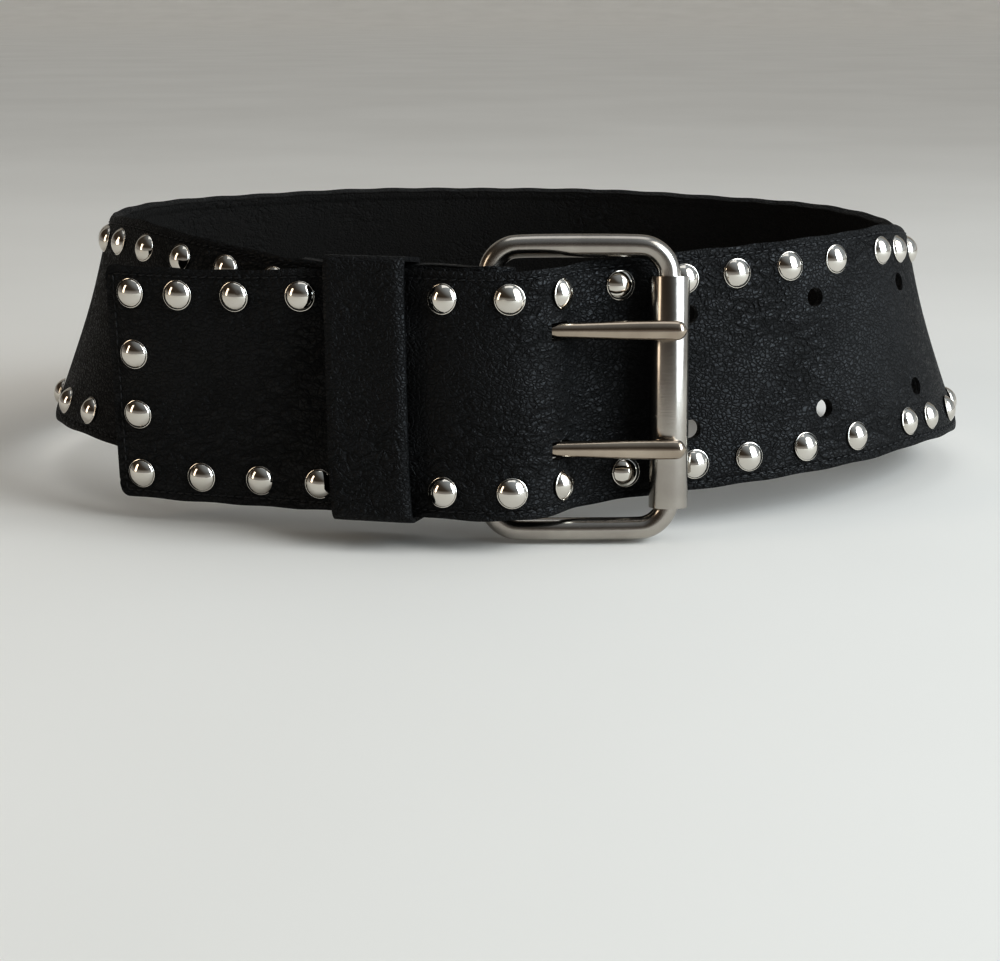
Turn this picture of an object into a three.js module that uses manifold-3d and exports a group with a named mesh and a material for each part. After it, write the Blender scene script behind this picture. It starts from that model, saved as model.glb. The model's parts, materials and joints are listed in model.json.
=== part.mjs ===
// Wide studded leather belt, closed round the hips with a double-prong roller buckle.
// Units are millimetres. +Z points up to the waist, -Y to the front (the buckle side), and +X to
// the wearer's left. The origin is the centre of the closed loop, half way up the strap.
import * as THREE from 'three'
import { mergeVertices } from 'three/addons/utils/BufferGeometryUtils.js'
import Module from 'manifold-3d'

const wasm = await Module()
wasm.setup()

// Closed loop round the hips, measured to the middle of the leather at mid height
const hipHalfWidth = 154.8
const hipHalfDepth = 106.5

// Leather strap
const strapWidth = 76
const strapThickness = 3.2
const tipOverlap = 113.5
const tipStand = 17
const tipCorner = 3
const tailLength = 62
const strapFacet = 14

// Buckle: a wire frame, a loose roller and two prongs
const hingePlace = -6
const buckleReach = 54.3
const wireDiameter = 7.6
const frameRoom = 2.4
const frameCorner = 13.5
const frameSides = 12
const rollerDiameter = 12.2
const rollerWall = 1.1
const rollerEndRoom = 4.4
const rollerSides = 16
const rollerStrapGap = 2.5
const rollerDrop = 1.3
const rollerStudGap = 2.8
const prongDiameter = 5.4
const prongEyeWire = 3.6
const prongSpacing = 36.5
const prongOverhang = 4.5
const prongSides = 10
const exitAlongShare = 0.37

// Prong holes, in pairs, counted from the pair that the prongs pass through
const holeDiameter = 5.8
const holePitch = 48
const holePairs = 5
const holeSides = 10

// Studs, with their centres set in from the strap's edges
const studDiameter = 9.6
const studHeight = 2.9
const studInset = 8.5
const studPitchTop = 20.5
const studPitchBottom = 20.65
const studTipColumn = 2
const studSides = 10

// Keeper loop
const keeperWidth = 25
const keeperThickness = 1.6
const keeperPlace = -40
const keeperRoom = 0.6
const keeperCorner = 1.6
const keeperLean = 3.9

// Gaps between neighbouring pieces
const clearance = 0.3
const turningGap = 0.35
const foldSlack = 1.6

// Stretches of the strap whose studs are seen from the front: round from the front centre, as a
// share of the loop, and on the inner layer past the tip and under it
const seenLoopShare = 0.235
const seenPastTip = 58
const seenUnderTip = 4

// Sizes that follow from the others: the buckle fits round the strap, and the pieces of the
// buckle set how far the strap's middle layer stands off the loop
const frameHeight = strapWidth + 2 * (wireDiameter + frameRoom)
const rollerLength = frameHeight - 2 * (wireDiameter + rollerEndRoom)
const hingeStand = strapThickness / 2 + turningGap + wireDiameter / 2
const overTail = strapThickness + clearance
const overHinge = 2 * hingeStand
const layerStep = strapThickness + studHeight + 2 * clearance
const rollerStand = strapThickness / 2 + rollerStrapGap + rollerDiameter / 2
const eyeRadius = wireDiameter / 2 + turningGap + prongEyeWire / 2
const prongRest = rollerDiameter / 2 + clearance + prongDiameter / 2

// Lean of the strap's top edge inwards (degrees) and rise of its mid height, as a share of the
// strap's width, by the share of the way round the loop from the front centre towards +X
const bodyShape = [
  { way: 0.00, lean: 8, rise: -0.035 },
  { way: 0.04, lean: 6, rise: -0.015 },
  { way: 0.08, lean: 9, rise: 0.005 },
  { way: 0.13, lean: 11, rise: 0.035 },
  { way: 0.18, lean: 13, rise: 0.050 },
  { way: 0.24, lean: 19, rise: -0.020 },
  { way: 0.33, lean: 15, rise: 0.000 },
  { way: 0.50, lean: 9, rise: 0.015 },
  { way: 0.67, lean: 14, rise: 0.030 },
  { way: 0.76, lean: 19, rise: 0.045 },
  { way: 0.82, lean: 17, rise: 0.080 },
  { way: 0.87, lean: 11, rise: 0.030 },
  { way: 0.93, lean: 9, rise: -0.045 },
  { way: 1.00, lean: 8, rise: -0.035 },
]

// Crown of a stud: rings as shares of its radius and height
const seenCrown = [
  { radius: 1.00, height: 0.14 },
  { radius: 0.68, height: 0.78 },
]
const fieldCrown = [
  { radius: 0.78, height: 0.66 },
]

// Where the rows were set by hand off their even spacing, as shares of the pitch
const topRowShifts = [
  { number: 2, shift: -0.22 },
  { number: 3, shift: -0.30 },
  { number: 4, shift: -0.28 },
  { number: 8, shift: -0.12 },
  { number: 10, shift: 0.08 },
  { number: 14, shift: 0.27 },
]
const bottomRowShifts = [
  { number: 8, shift: -0.16 },
  { number: 10, shift: 0.11 },
  { number: 14, shift: 0.27 },
]

// Inner layer from behind the tip to the fold: the way back from the hinge bar as a share of the
// tail's length, and the stand-off as shares of the layer over the tail and over the hinge bar
const innerLayer = [
  { back: 1.60, tailShare: 0.00, hingeShare: 0.00 },
  { back: 1.32, tailShare: 0.15, hingeShare: 0.00 },
  { back: 1.08, tailShare: 1.00, hingeShare: 0.00 },
  { back: 0.80, tailShare: 1.00, hingeShare: 0.00 },
  { back: 0.55, tailShare: 0.95, hingeShare: 0.07 },
  { back: 0.35, tailShare: 0.50, hingeShare: 0.42 },
  { back: 0.16, tailShare: 0.10, hingeShare: 0.86 },
]

// Free end from the tip to the hinge bar: the way back from the hinge bar as a share of the
// overlap, the share of the tip's stand-off beyond the layer below, and the share of its own lean
const outerLayer = [
  { back: 1.000, stand: 1.00, free: 1.0 },
  { back: 0.860, stand: 0.70, free: 1.0 },
  { back: 0.700, stand: 0.34, free: 1.0 },
  { back: 0.560, stand: 0.10, free: 0.8 },
  { back: 0.440, stand: 0.00, free: 0.3 },
  { back: 0.330, stand: 0.00, free: 0.0 },
  { back: 0.200, stand: 0.00, free: 0.0 },
  { back: 0.090, stand: 0.00, free: 0.0 },
]
const tipLean = -1
const tipRise = -0.060

// Strap between the hinge bar and the roller: the way along as a share of the buckle's reach,
// and the stand-off as shares of the layer over the hinge bar and of the prongs' line
const buckleLayer = [
  { along: 0.00, humpShare: 1.00, exitShare: 0.00 },
  { along: 0.12, humpShare: 1.00, exitShare: 0.00 },
  { along: 0.24, humpShare: 0.93, exitShare: 0.00 },
  { along: 0.37, humpShare: 0.00, exitShare: 1.00 },
  { along: 0.50, humpShare: 0.00, exitShare: 0.45 },
  { along: 0.68, humpShare: 0.00, exitShare: 0.18 },
  { along: 0.86, humpShare: 0.00, exitShare: 0.04 },
  { along: 1.00, humpShare: 0.00, exitShare: 0.00 },
  { along: 1.18, humpShare: 0.00, exitShare: 0.00 },
]

const leather = new THREE.MeshStandardMaterial({ color: 0x1d1c1e, roughness: 0.55, metalness: 0 })
const nickel = new THREE.MeshStandardMaterial({ color: 0xb9b2a8, roughness: 0.12, metalness: 1 })
const brushedSteel = new THREE.MeshStandardMaterial({ color: 0xa8a29a, roughness: 0.3, metalness: 1 })
const polishedSteel = new THREE.MeshStandardMaterial({ color: 0xa89f93, roughness: 0.15, metalness: 1 })

const upward = new THREE.Vector3(0, 0, 1)
const lerp = THREE.MathUtils.lerp
const radians = THREE.MathUtils.degToRad
const loopSamples = 2000
const routeSamples = 6000

// Booleans: a geometry becomes a solid and a solid becomes a geometry
const weldDistance = 0.001

function solidOf(geometry) {
  const bare = geometry.clone()
  bare.deleteAttribute('normal')
  bare.deleteAttribute('uv')
  const merged = mergeVertices(bare, weldDistance)
  return new wasm.Manifold(new wasm.Mesh({
    numProp: 3,
    vertProperties: new Float32Array(merged.attributes.position.array),
    triVerts: new Uint32Array(merged.index.array),
  }))
}

function geometryOf(solid) {
  const mesh = solid.getMesh()
  const geometry = new THREE.BufferGeometry()
  geometry.setAttribute('position', new THREE.BufferAttribute(mesh.vertProperties, 3))
  geometry.setIndex(new THREE.BufferAttribute(mesh.triVerts, 1))
  geometry.computeVertexNormals()
  return geometry
}

function namedMesh(name, geometry, material) {
  const mesh = new THREE.Mesh(geometry, material)
  mesh.name = name
  return mesh
}

// The loop in plan: distances along it start at the front centre and grow towards +X
const loop = new THREE.EllipseCurve(0, 0, hipHalfWidth, hipHalfDepth, -Math.PI / 2, 1.5 * Math.PI)
loop.arcLengthDivisions = loopSamples
const loopLength = loop.getLength()

function shapeAt(distance) {
  const turns = distance / loopLength
  const share = turns - Math.floor(turns)
  const row = Math.max(1, bodyShape.findIndex((entry) => entry.way >= share))
  const before = bodyShape[row - 1]
  const after = bodyShape[row]
  const part = (share - before.way) / (after.way - before.way)
  return { share, lean: lerp(before.lean, after.lean, part), rise: lerp(before.rise, after.rise, part) }
}

function outwardAt(distance) {
  const tangent = loop.getTangentAt(shapeAt(distance).share)
  return new THREE.Vector3(tangent.y, -tangent.x, 0)
}

function leaning(outward, degrees) {
  const tilt = radians(degrees)
  return upward.clone().multiplyScalar(Math.cos(tilt)).addScaledVector(outward, -Math.sin(tilt))
}

// A station of the strap's route: its middle point and the direction across the strap
function station(distance, stand, free = 0) {
  const body = shapeAt(distance)
  const outward = outwardAt(distance)
  const place = loop.getPointAt(body.share)
  const rise = lerp(body.rise, tipRise, free) * strapWidth
  const point = new THREE.Vector3(place.x, place.y, rise).addScaledVector(outward, stand)
  return { point, across: leaning(outward, lerp(body.lean, tipLean, free)) }
}

// The buckle's own frame: along from the hinge bar to the roller, up the bars, and outwards
const hinge = station(hingePlace, hingeStand)
const rollerPlace = hingePlace + buckleReach
const rollerPoint = station(rollerPlace, rollerStand).point
const barSpan = hinge.point.distanceTo(rollerPoint.clone().setZ(hinge.point.z))
const along = rollerPoint.clone().setZ(hinge.point.z).sub(hinge.point).normalize()
const barUp = leaning(new THREE.Vector3(along.y, -along.x, 0), shapeAt(hingePlace).lean)
const barOut = new THREE.Vector3().crossVectors(along, barUp)
const buckleMatrix = new THREE.Matrix4().makeBasis(along, barUp, barOut).setPosition(hinge.point)

function inBuckle(x, y, z) {
  return new THREE.Vector3(x, y, z).applyMatrix4(buckleMatrix)
}

function prongLine(x) {
  return lerp(eyeRadius, prongRest, x / barSpan)
}

function standOf(point, distance) {
  const place = loop.getPointAt(shapeAt(distance).share)
  return point.clone().sub(new THREE.Vector3(place.x, place.y, point.z)).dot(outwardAt(distance))
}

const exitDistance = hingePlace + exitAlongShare * buckleReach
const exitStand = standOf(inBuckle(exitAlongShare * barSpan, 0, prongLine(exitAlongShare * barSpan)), exitDistance)

// The inner layer's stand-off at a distance back from the hinge bar
function innerStand(back) {
  const rows = innerLayer.map((row) => (
    { back: row.back * tailLength, stand: row.tailShare * overTail + row.hingeShare * overHinge }
  ))
  rows.push({ back: 0, stand: overHinge })
  if (back >= rows[0].back) {
    return 0
  }
  const next = rows.findIndex((row) => row.back <= back)
  const far = rows[next - 1]
  const near = rows[next]
  return lerp(near.stand, far.stand, (back - near.back) / (far.back - near.back))
}

// The strap's whole route, from the tip round the hips to the end of the folded tail. The plain
// stretch round the body starts and ends at shares of the buckle's reach and the tail's length.
const bodyStartShare = 1.4
const bodyEndShare = 1.9
const bodySteps = 34
const foldSteps = 8
const tailSteps = 5

function strapRoute() {
  const stations = []
  for (const row of outerLayer) {
    const back = row.back * tipOverlap
    const stand = innerStand(back) + layerStep + row.stand * tipStand
    stations.push(station(hingePlace - back, stand, row.free))
  }
  for (const row of buckleLayer) {
    const stand = row.humpShare * (overHinge + layerStep) + row.exitShare * exitStand
    stations.push(station(hingePlace + row.along * buckleReach, stand))
  }
  const bodyStart = hingePlace + bodyStartShare * buckleReach
  const bodyEnd = loopLength + hingePlace - bodyEndShare * tailLength
  for (let step = 0; step <= bodySteps; step += 1) {
    stations.push(station(lerp(bodyStart, bodyEnd, step / bodySteps), 0))
  }
  for (const row of innerLayer) {
    const back = row.back * tailLength
    stations.push(station(loopLength + hingePlace - back, innerStand(back)))
  }
  for (let step = 0; step <= foldSteps; step += 1) {
    const angle = Math.PI * step / foldSteps
    const nose = (hingeStand + foldSlack) * Math.sin(angle)
    const point = inBuckle(nose, 0, hingeStand * Math.cos(angle))
    stations.push({ point, across: barUp.clone() })
  }
  for (let step = 1; step <= tailSteps; step += 1) {
    stations.push(station(hingePlace - tailLength * step / tailSteps, 0))
  }
  return stations
}

const stations = strapRoute()
const route = new THREE.CatmullRomCurve3(stations.map((entry) => entry.point), false, 'centripetal')
route.arcLengthDivisions = routeSamples
const strapLength = route.getLength()

// The strap's local frame at a length from the tip
function strapFrame(length) {
  const share = THREE.MathUtils.clamp(length / strapLength, 0, 1)
  const spot = route.getUtoTmapping(share) * (stations.length - 1)
  const row = Math.min(stations.length - 2, Math.floor(spot))
  const across = stations[row].across.clone().lerp(stations[row + 1].across, spot - row).normalize()
  const forward = route.getTangentAt(share)
  const face = new THREE.Vector3().crossVectors(forward, across).normalize()
  return { point: route.getPointAt(share), forward, across, face }
}

function strapPoint(length, height, depth) {
  const frame = strapFrame(length)
  return frame.point.addScaledVector(frame.across, height).addScaledVector(frame.face, depth)
}

// Lengths at which the strap has a cross-section: closer together where it bends more
function strapCuts() {
  const cornerShares = [0, 0.15, 0.5, 1]
  const shortestFacet = 2
  const facetStep = 0.5
  const bendPerCut = radians(17)
  const lastFacetShare = 1.4
  const cuts = cornerShares.map((share) => share * tipCorner)
  let length = tipCorner
  while (length < strapLength) {
    const here = strapFrame(length).forward
    let step = strapFacet
    while (step > shortestFacet && here.angleTo(strapFrame(length + step).forward) > bendPerCut) {
      step -= facetStep
    }
    length = length + lastFacetShare * step > strapLength ? strapLength : length + step
    cuts.push(length)
  }
  return cuts
}

const facetEnds = strapCuts()

function strapHalfWidth(length) {
  const inside = Math.min(1, length / tipCorner)
  return strapWidth / 2 - tipCorner * (1 - Math.sqrt(1 - (1 - inside) ** 2))
}

// The plain strap: a long box bent along the route
function plainStrap() {
  const facets = facetEnds.length - 1
  const geometry = new THREE.BoxGeometry(1, 1, 1, facets, 1, 1)
  const position = geometry.attributes.position
  for (let index = 0; index < position.count; index += 1) {
    const length = facetEnds[Math.round((position.getX(index) + 0.5) * facets)]
    const height = 2 * position.getY(index) * strapHalfWidth(length)
    const spot = strapPoint(length, height, position.getZ(index) * strapThickness)
    position.setXYZ(index, spot.x, spot.y, spot.z)
  }
  return geometry
}

// A piece turned about its own Y axis is set with that axis square to the strap's face
function onStrap(geometry, length, height, depth) {
  const frame = strapFrame(length)
  const origin = strapPoint(length, height, depth)
  const side = new THREE.Vector3().crossVectors(frame.across, frame.face)
  geometry.applyMatrix4(new THREE.Matrix4().makeBasis(frame.across, frame.face, side).setPosition(origin))
  return geometry
}

// A point of the strap as it is faceted, straight between two cross-sections
function facetPoint(length, height, depth) {
  const next = Math.max(1, facetEnds.findIndex((end) => end >= length))
  const before = facetEnds[next - 1]
  const share = (length - before) / (facetEnds[next] - before)
  return strapPoint(before, height, depth).lerp(strapPoint(facetEnds[next], height, depth), share)
}

// How far the leather rises under a stud where the strap bends outwards on both sides
function seatLift(length, height) {
  const frame = strapFrame(length)
  const seat = strapPoint(length, height, strapThickness / 2)
  const shares = [-0.5, -0.25, 0, 0.25, 0.5]
  let lift = 0
  for (const alongShare of shares) {
    for (const upShare of shares) {
      const place = length + alongShare * studDiameter
      const point = facetPoint(place, height + upShare * studDiameter, strapThickness / 2)
      lift = Math.max(lift, point.sub(seat).dot(frame.face))
    }
  }
  return lift
}

// A domed stud: a low rim and a crowned top, flat underneath
function studGeometry(foot, crown) {
  const profile = [new THREE.Vector2(0, -foot), new THREE.Vector2(studDiameter / 2, -foot)]
  for (const ring of crown) {
    profile.push(new THREE.Vector2(ring.radius * studDiameter / 2, ring.height * studHeight))
  }
  profile.push(new THREE.Vector2(0, studHeight))
  return new THREE.LatheGeometry(profile, studSides)
}

// The length from the tip at which the strap's middle passes nearest to a point of the buckle
function lengthNear(point) {
  const start = tipOverlap
  const end = tipOverlap + 2 * buckleReach
  const samples = 800
  let best = start
  for (let sample = 0; sample <= samples; sample += 1) {
    const length = lerp(start, end, sample / samples)
    const nearer = strapFrame(length).point.distanceTo(point) < strapFrame(best).point.distanceTo(point)
    best = nearer ? length : best
  }
  return best
}

const exitLength = lengthNear(inBuckle(exitAlongShare * barSpan, 0, prongLine(exitAlongShare * barSpan)))
const rollerLineLength = lengthNear(inBuckle(barSpan, 0, 0))

// Where the studs sit: two rows along the edges, and a column across the tip
const rowHeight = strapWidth / 2 - studInset
const foldStart = strapLength - tailLength - Math.PI * hingeStand
const lastStud = foldStart - studInset

// A stud that would sit under the roller sits beside it
function besideRoller(length) {
  const room = rollerDiameter / 2 + rollerStudGap
  const offset = length - rollerLineLength
  return Math.abs(offset) < room ? rollerLineLength + (offset < 0 ? -room : room) : length
}

function studRow(rowName, height, pitch, shifts) {
  const row = []
  const count = Math.floor((lastStud - studInset) / pitch) + 1
  for (let number = 1; number <= count; number += 1) {
    const moved = shifts.find((entry) => entry.number === number)
    const place = number - 1 + (moved ? moved.shift : 0)
    const name = `${rowName}_${String(number).padStart(2, '0')}`
    row.push({ name, length: besideRoller(studInset + place * pitch), height })
  }
  return row
}

function tipColumn() {
  const column = []
  for (let number = 1; number <= studTipColumn; number += 1) {
    const height = lerp(rowHeight, -rowHeight, number / (studTipColumn + 1))
    column.push({ name: `stud_tip_${number}`, length: studInset, height })
  }
  return column
}

const studs = [
  ...studRow('stud_top', rowHeight, studPitchTop, topRowShifts),
  ...studRow('stud_bottom', -rowHeight, studPitchBottom, bottomRowShifts),
  ...tipColumn(),
]

// Studs that are seen from the front are solids of their own, and the rest are one fused field
const frontEnd = hingePlace + tipOverlap + seenLoopShare * loopLength
const underTip = foldStart - tipOverlap
const leftStart = underTip - seenPastTip
const leftEnd = underTip + seenUnderTip

function isSeparate(stud) {
  return stud.length < frontEnd || (stud.length > leftStart && stud.length < leftEnd)
}

const prongHeights = [prongSpacing / 2, -prongSpacing / 2]

// A prong hole, punched square through the strap
function holeCutter(length, height) {
  const radius = holeDiameter / 2
  const hole = new THREE.CylinderGeometry(radius, radius, 3 * strapThickness, holeSides)
  return onStrap(hole, length, height, 0)
}

// A slot in the fold, in which a prong's eye turns round the hinge bar
function slotCutter(height) {
  const slotSides = 16
  const radius = eyeRadius + prongEyeWire / 2 + turningGap + foldSlack
  const width = prongDiameter + 4 * clearance
  const slot = new THREE.CylinderGeometry(radius, radius, width, slotSides)
  return slot.translate(0, height, 0).applyMatrix4(buckleMatrix)
}

// The way of a prong's shank through the strap, between two shares of the buckle's span
function shankCutter(height) {
  const shankStart = 0.12
  const shankEnd = 0.62
  const shankSteps = 6
  const radius = prongDiameter / 2 + turningGap
  const shank = new THREE.CylinderGeometry(1, 1, 1, holeSides, shankSteps)
  const position = shank.attributes.position
  for (let index = 0; index < position.count; index += 1) {
    const x = lerp(shankStart, shankEnd, position.getY(index) + 0.5) * barSpan
    const up = height + position.getX(index) * radius
    const out = prongLine(x) - position.getZ(index) * radius
    position.setXYZ(index, x, up, out)
  }
  return shank.applyMatrix4(buckleMatrix)
}

function strapCutters() {
  const cutters = []
  for (const height of prongHeights) {
    for (let pair = 1; pair < holePairs; pair += 1) {
      cutters.push(holeCutter(exitLength + pair * holePitch, height))
    }
    cutters.push(slotCutter(height), shankCutter(height))
  }
  return cutters
}

// The strap with its holes and slots, and the studs that are one field with it
function beltStrap() {
  const fusedFoot = 1.2
  let solid = solidOf(plainStrap())
  for (const stud of studs.filter((entry) => !isSeparate(entry))) {
    const dome = onStrap(studGeometry(fusedFoot, fieldCrown), stud.length, stud.height, strapThickness / 2)
    solid = solid.add(solidOf(dome))
  }
  for (const cutter of strapCutters()) {
    solid = solid.subtract(solidOf(cutter))
  }
  return namedMesh('belt_strap', geometryOf(solid), leather)
}

function looseStuds() {
  return studs.filter(isSeparate).map((stud) => {
    const depth = strapThickness / 2 + clearance + seatLift(stud.length, stud.height)
    const geometry = onStrap(studGeometry(0, seenCrown), stud.length, stud.height, depth)
    return namedMesh(stud.name, geometry, nickel)
  })
}

// Frame: a ring whose centre line is moved onto a rounded rectangle
function buckleFrame() {
  const wire = wireDiameter / 2
  const corner = frameCorner - wire
  const halfHeight = frameHeight / 2 - wire - corner
  const cornerSteps = 5
  const corners = [
    { x: barSpan - corner, y: halfHeight, start: 0 },
    { x: corner, y: halfHeight, start: 90 },
    { x: corner, y: -halfHeight, start: 180 },
    { x: barSpan - corner, y: -halfHeight, start: 270 },
  ]
  const rings = []
  for (const bend of corners) {
    for (let step = 0; step <= cornerSteps; step += 1) {
      const angle = radians(bend.start + 90 * step / cornerSteps)
      rings.push({ x: bend.x, y: bend.y, angle })
    }
  }
  const geometry = new THREE.TorusGeometry(corner, wire, frameSides, rings.length)
  const position = geometry.attributes.position
  for (let index = 0; index < position.count; index += 1) {
    const ring = rings[(index % (rings.length + 1)) % rings.length]
    const turn = 2 * Math.PI * Math.floor(index / (rings.length + 1)) / frameSides
    const reach = corner + wire * Math.cos(turn)
    const x = ring.x + reach * Math.cos(ring.angle)
    const y = ring.y + reach * Math.sin(ring.angle)
    position.setXYZ(index, x, y, wire * Math.sin(turn))
  }
  geometry.computeVertexNormals()
  return namedMesh('buckle_frame', geometry, brushedSteel)
}

// Roller: a loose tube on the frame's far bar
function buckleRoller() {
  const outer = rollerDiameter / 2
  const inner = outer - rollerWall
  const half = rollerLength / 2
  const profile = [
    new THREE.Vector2(inner, -half),
    new THREE.Vector2(outer, -half),
    new THREE.Vector2(outer, half),
    new THREE.Vector2(inner, half),
    new THREE.Vector2(inner, -half),
  ]
  const mesh = namedMesh('buckle_roller', new THREE.LatheGeometry(profile, rollerSides), brushedSteel)
  mesh.position.set(barSpan, -rollerDrop, 0)
  return mesh
}

// Centre line of a prong: its eye round the hinge bar, and its shank to the tip
function prongPath() {
  const eyeSteps = 14
  const eyeStart = -20
  const eyeEnd = -270
  const shankShares = [0.14, 0.3, 0.6, 1]
  const points = []
  for (let step = 0; step <= eyeSteps; step += 1) {
    const angle = radians(lerp(eyeStart, eyeEnd, step / eyeSteps))
    points.push(new THREE.Vector3(eyeRadius * Math.cos(angle), 0, eyeRadius * Math.sin(angle)))
  }
  for (const share of shankShares) {
    const x = share * (barSpan + prongOverhang)
    points.push(new THREE.Vector3(x, 0, prongLine(x)))
  }
  return new THREE.CatmullRomCurve3(points, false, 'centripetal')
}

// Lengths along a prong at which it has a ring: even round the eye, then along the shank as
// shares, then by angle round the tip
function prongCuts(shankStart, tipStart, tipRadius) {
  const eyeCuts = 14
  const shankShares = [0, 0.1, 0.2, 0.5, 0.8]
  const tipAngles = [0, 30, 55, 75]
  const cuts = []
  for (let cut = 0; cut < eyeCuts; cut += 1) {
    cuts.push(shankStart * cut / eyeCuts)
  }
  for (const share of shankShares) {
    cuts.push(lerp(shankStart, tipStart, share))
  }
  for (const angle of tipAngles) {
    cuts.push(tipStart + tipRadius * Math.sin(radians(angle)))
  }
  return cuts
}

// Prong: a wire bent round the hinge bar, thicker along its shank, with a blunt round tip
function prong(name, height) {
  const path = prongPath()
  const pathLength = path.getLength()
  const shankStart = pathLength - (barSpan + prongOverhang)
  const tipRadius = prongDiameter / 2
  const tipStart = pathLength - tipRadius
  const growthEnd = shankStart + 2.5 * prongDiameter
  const cuts = prongCuts(shankStart, tipStart, tipRadius)
  const geometry = new THREE.CylinderGeometry(1, 1, 1, prongSides, cuts.length - 1)
  const position = geometry.attributes.position
  for (let index = 0; index < position.count; index += 1) {
    const length = cuts[Math.round((position.getY(index) + 0.5) * (cuts.length - 1))]
    const centre = path.getPointAt(length / pathLength)
    const forward = path.getTangentAt(length / pathLength)
    const growth = THREE.MathUtils.smoothstep(length, shankStart, growthEnd)
    const pastTip = Math.max(0, length - tipStart) / tipRadius
    const radius = lerp(prongEyeWire, prongDiameter, growth) / 2 * Math.sqrt(1 - pastTip ** 2)
    const sideways = new THREE.Vector3(-forward.z, 0, forward.x)
    centre.addScaledVector(sideways, position.getX(index) * radius)
    centre.y += position.getZ(index) * radius
    position.setXYZ(index, centre.x, centre.y, centre.z)
  }
  geometry.computeVertexNormals()
  const mesh = namedMesh(name, geometry, polishedSteel)
  mesh.position.set(0, height, 0)
  return mesh
}

// The keeper's own frame: X out of its face, Y up along it, and Z sideways, with the band leaning
function keeperFrame() {
  const spot = station(keeperPlace, 0)
  const sideways = new THREE.Vector3().crossVectors(outwardAt(keeperPlace), spot.across).normalize()
  const face = new THREE.Vector3().crossVectors(spot.across, sideways)
  const lean = Math.tan(radians(keeperLean))
  const up = spot.across.clone().addScaledVector(sideways, lean)
  return new THREE.Matrix4().makeBasis(face, up, sideways).setPosition(spot.point)
}

// What the keeper goes round: the reach of all layers of the strap inside the band, in its frame
function keeperContents(matrix) {
  const inverse = matrix.clone().invert()
  const sampleStep = 1.5
  const contents = new THREE.Box3()
  for (let length = 0; length <= strapLength; length += sampleStep) {
    for (const height of [-0.5, 0.5]) {
      for (const depth of [-0.5, 0.5]) {
        const corner = strapPoint(length, height * strapWidth, depth * strapThickness)
        corner.applyMatrix4(inverse)
        const inBand = Math.abs(corner.z) < keeperWidth / 2 + sampleStep
        if (inBand && corner.length() < strapWidth) {
          contents.expandByPoint(corner)
        }
      }
    }
  }
  return contents
}

function roundedBox(low, high, bend) {
  const shape = new THREE.Shape()
  shape.moveTo(low.x + bend, low.y)
  shape.lineTo(high.x - bend, low.y)
  shape.absarc(high.x - bend, low.y + bend, bend, -Math.PI / 2, 0)
  shape.lineTo(high.x, high.y - bend)
  shape.absarc(high.x - bend, high.y - bend, bend, 0, Math.PI / 2)
  shape.lineTo(low.x + bend, high.y)
  shape.absarc(low.x + bend, high.y - bend, bend, Math.PI / 2, Math.PI)
  shape.lineTo(low.x, low.y + bend)
  shape.absarc(low.x + bend, low.y + bend, bend, Math.PI, 1.5 * Math.PI)
  return shape
}

// Keeper: a flat band round both layers, the tail and their studs
function keeperLoop() {
  const matrix = keeperFrame()
  const room = keeperContents(matrix)
  room.max.x += studHeight + clearance
  room.expandByScalar(keeperRoom)
  const outside = room.clone().expandByScalar(keeperThickness)
  const band = roundedBox(outside.min, outside.max, keeperCorner + keeperThickness)
  band.holes.push(roundedBox(room.min, room.max, keeperCorner))
  const extrusion = { depth: keeperWidth, bevelEnabled: false, curveSegments: 4 }
  const geometry = new THREE.ExtrudeGeometry(band, extrusion)
  geometry.translate(0, 0, -keeperWidth / 2)
  geometry.applyMatrix4(matrix)
  return namedMesh('keeper_loop', geometry, leather)
}

const buckle = new THREE.Group()
buckle.applyMatrix4(buckleMatrix)
buckle.add(buckleFrame(), buckleRoller())
const [upperHeight, lowerHeight] = prongHeights
buckle.add(prong('prong_upper', upperHeight), prong('prong_lower', lowerHeight))

const group = new THREE.Group()
group.add(beltStrap(), keeperLoop(), buckle, ...looseStuds())

export default group
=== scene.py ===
"""Studded leather belt with a double-prong roller buckle, closed round the hips."""
import json
import math
import random

import bmesh
import bpy
import numpy as np
from mathutils import Matrix, Vector


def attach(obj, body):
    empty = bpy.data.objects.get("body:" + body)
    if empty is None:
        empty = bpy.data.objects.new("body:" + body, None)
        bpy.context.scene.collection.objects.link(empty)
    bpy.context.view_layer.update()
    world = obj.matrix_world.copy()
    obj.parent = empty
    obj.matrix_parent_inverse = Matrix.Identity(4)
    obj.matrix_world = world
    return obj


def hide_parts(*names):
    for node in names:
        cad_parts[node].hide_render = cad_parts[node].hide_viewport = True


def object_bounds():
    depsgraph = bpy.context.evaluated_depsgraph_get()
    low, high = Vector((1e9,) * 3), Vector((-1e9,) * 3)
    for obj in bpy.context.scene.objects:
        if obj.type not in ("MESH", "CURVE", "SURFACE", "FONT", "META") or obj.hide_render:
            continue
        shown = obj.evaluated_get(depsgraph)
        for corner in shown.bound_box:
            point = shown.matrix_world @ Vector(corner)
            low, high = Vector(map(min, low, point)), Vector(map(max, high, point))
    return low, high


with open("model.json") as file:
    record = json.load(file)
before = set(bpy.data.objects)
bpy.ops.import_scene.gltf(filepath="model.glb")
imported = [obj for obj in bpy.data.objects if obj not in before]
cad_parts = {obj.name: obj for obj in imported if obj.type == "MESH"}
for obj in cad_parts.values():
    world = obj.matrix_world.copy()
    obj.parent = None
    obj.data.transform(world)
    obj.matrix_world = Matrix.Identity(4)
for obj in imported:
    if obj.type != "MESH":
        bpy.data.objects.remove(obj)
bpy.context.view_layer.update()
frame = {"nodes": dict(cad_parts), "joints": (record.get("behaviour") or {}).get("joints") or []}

# Sizes in metres
MM = 0.001
STRAP_WIDTH = 76 * MM
STRAP_THICKNESS = 3.2 * MM
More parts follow.
